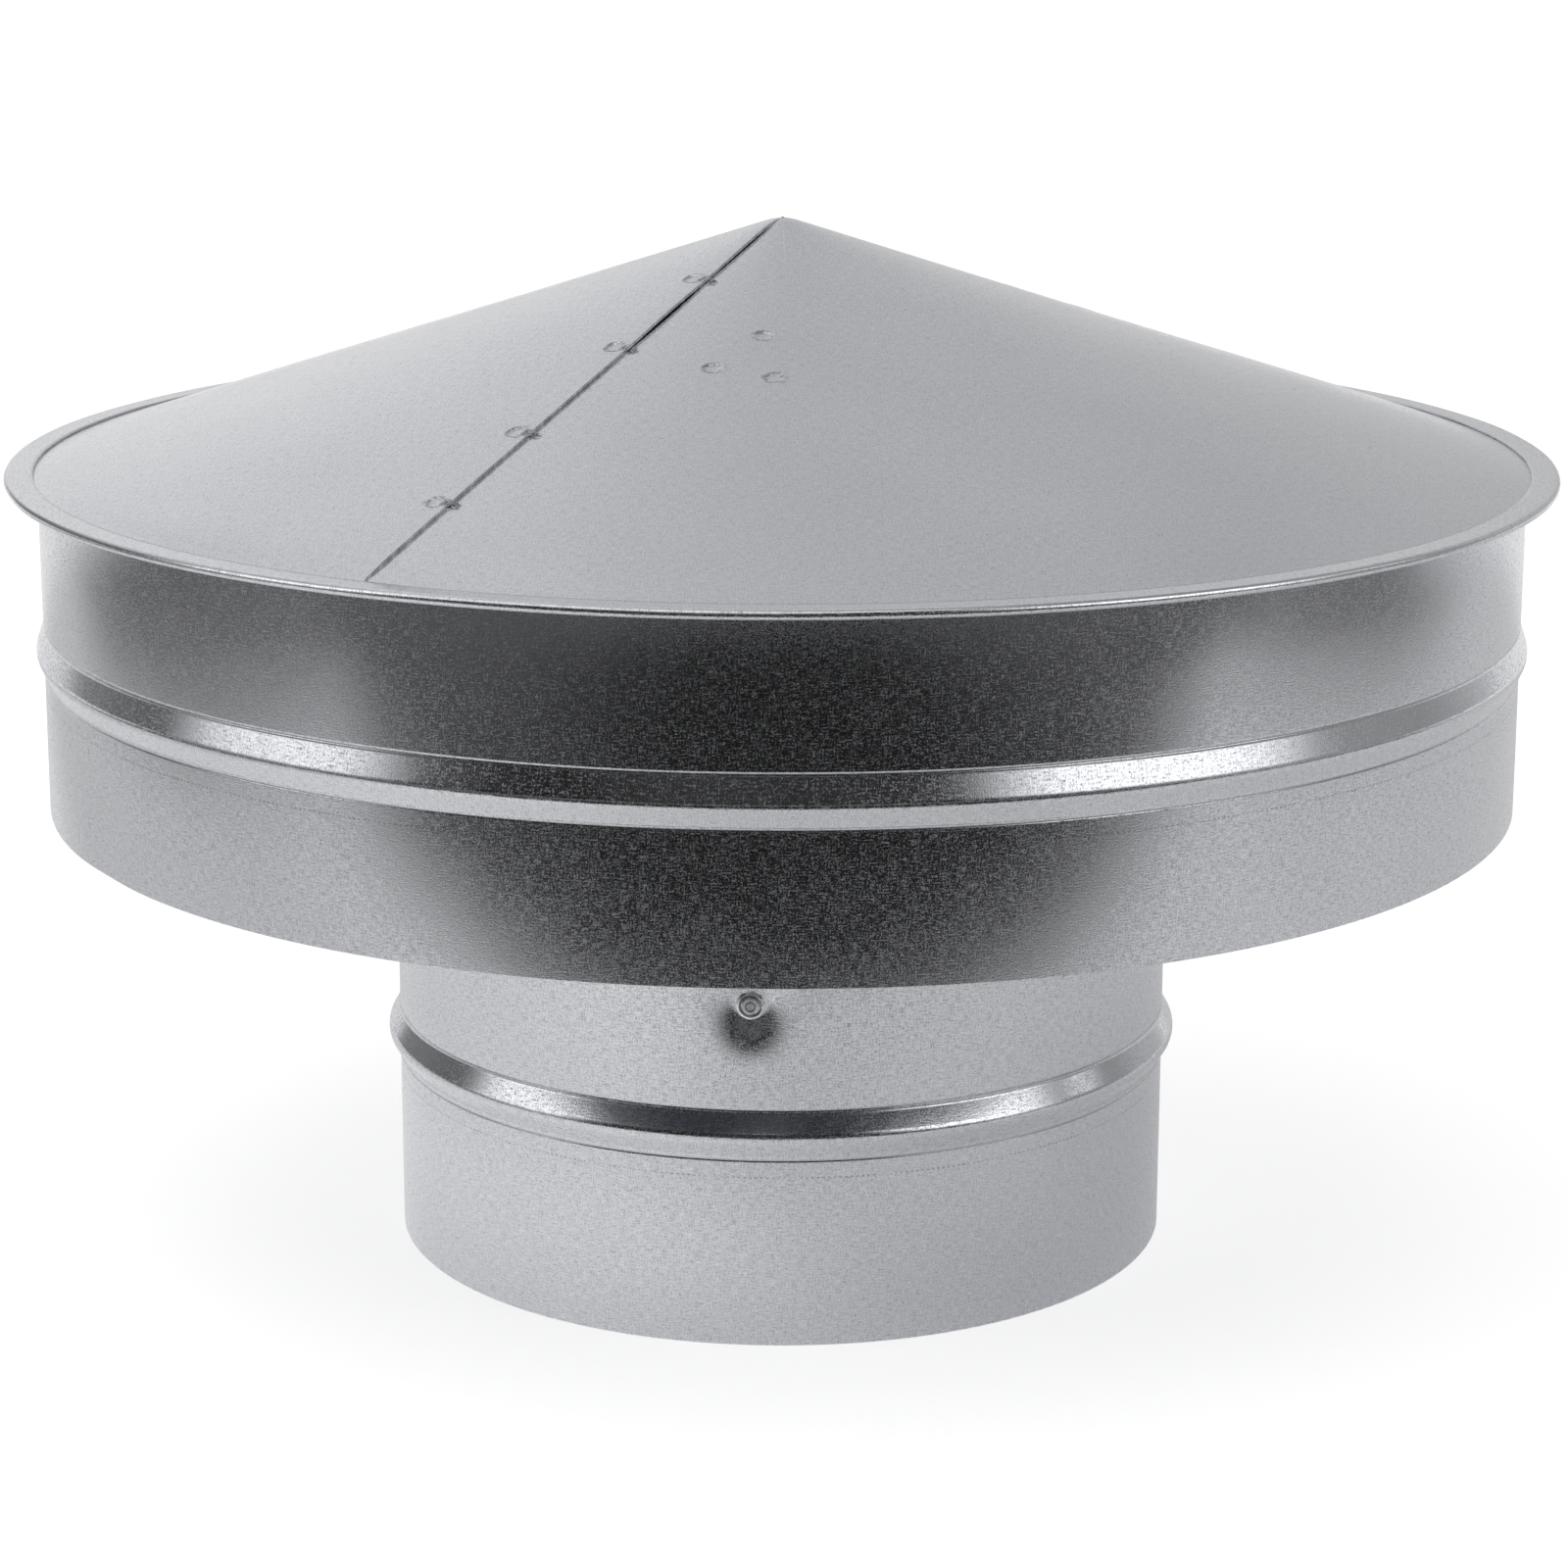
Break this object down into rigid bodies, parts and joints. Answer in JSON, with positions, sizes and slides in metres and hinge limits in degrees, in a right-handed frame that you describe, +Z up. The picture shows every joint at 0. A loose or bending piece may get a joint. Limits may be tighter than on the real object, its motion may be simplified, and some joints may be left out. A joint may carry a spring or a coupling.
{
  "type": "roof vent cap",
  "caption": "Round galvanised roof vent cap: a conical hood with a deep outer ring, held by riveted brackets above a beaded duct spigot.",
  "frame": {"origin": "middle of the spigot's bottom edge", "axes": "+Z up along the axis of spigot, ring and hood; -Y is the front that the picture shows"},
  "size_m": [0.3132, 0.3132, 0.2109],
  "materials": {
    "hood_cone": "galvanised",
    "outer_ring": "galvanised",
    "spigot": "galvanised",
    "bracket_front": "galvanised",
    "bracket_rear_left": "galvanised",
    "bracket_rear_right": "galvanised",
    "rivet_front": "plain",
    "rivet_rear_left": "plain",
    "rivet_rear_right": "plain",
    "rivet_pin_front": "plain",
    "rivet_pin_rear_left": "plain",
    "rivet_pin_rear_right": "plain"
  },
  "bodies": {
    "root": {"hood_cone": "hood_cone", "outer_ring": "outer_ring", "spigot": "spigot", "bracket_front": "bracket_front", "bracket_rear_left": "bracket_rear_left", "bracket_rear_right": "bracket_rear_right", "rivet_front": "rivet_front", "rivet_rear_left": "rivet_rear_left", "rivet_rear_right": "rivet_rear_right", "rivet_pin_front": "rivet_pin_front", "rivet_pin_rear_left": "rivet_pin_rear_left", "rivet_pin_rear_right": "rivet_pin_rear_right"}
  },
  "joints": []
}
